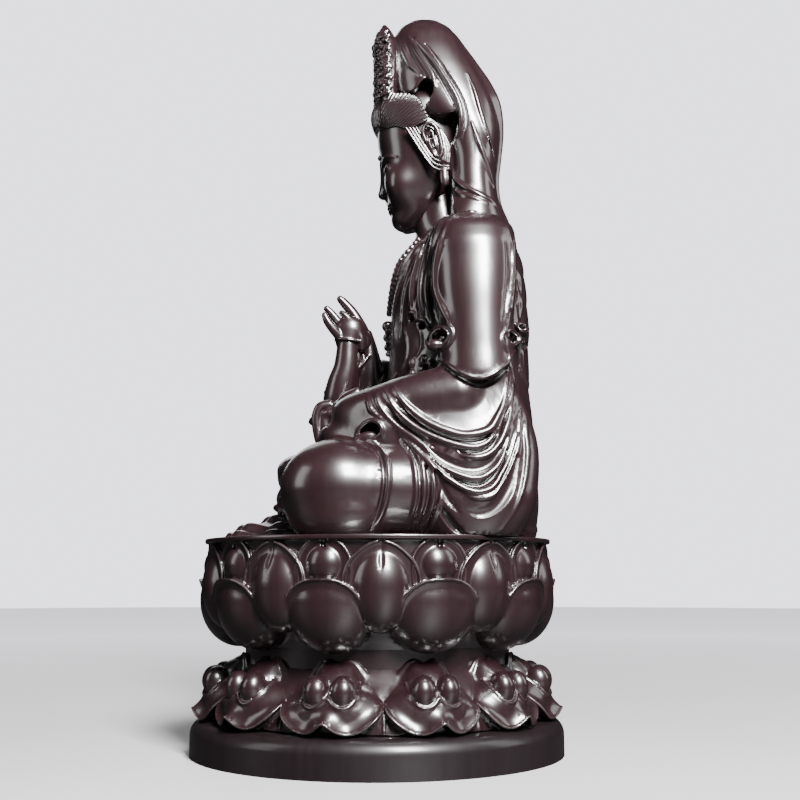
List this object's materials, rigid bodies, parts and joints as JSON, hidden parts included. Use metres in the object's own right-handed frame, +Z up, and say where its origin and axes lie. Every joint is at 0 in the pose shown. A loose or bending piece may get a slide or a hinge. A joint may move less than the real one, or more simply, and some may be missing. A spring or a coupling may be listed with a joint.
{
  "type": "guanyin figure",
  "caption": "Carved dark wood guanyin seated cross-legged in veil and robe, one hand raised, on a double lotus throne with a round plinth.",
  "frame": {"origin": "centre of the plinth's underside, on the axis of the throne and plinth", "axes": "+Z up, the figure faces -Y, and its own left side is +X"},
  "size_m": [0.2292, 0.2292, 0.48],
  "materials": {
    "robe_wood": "dark brown-black hardwood, waxed to a satin gloss, paler along worn edges",
    "lotus_wood": "dark brown-black hardwood, waxed to a satin gloss, paler along petal edges",
    "plinth_wood": "dark brown-black hardwood, waxed to a soft satin"
  },
  "bodies": {
    "root": {"guanyin_figure": "robe_wood", "lotus_throne": "lotus_wood", "round_plinth": "plinth_wood"}
  },
  "joints": []
}
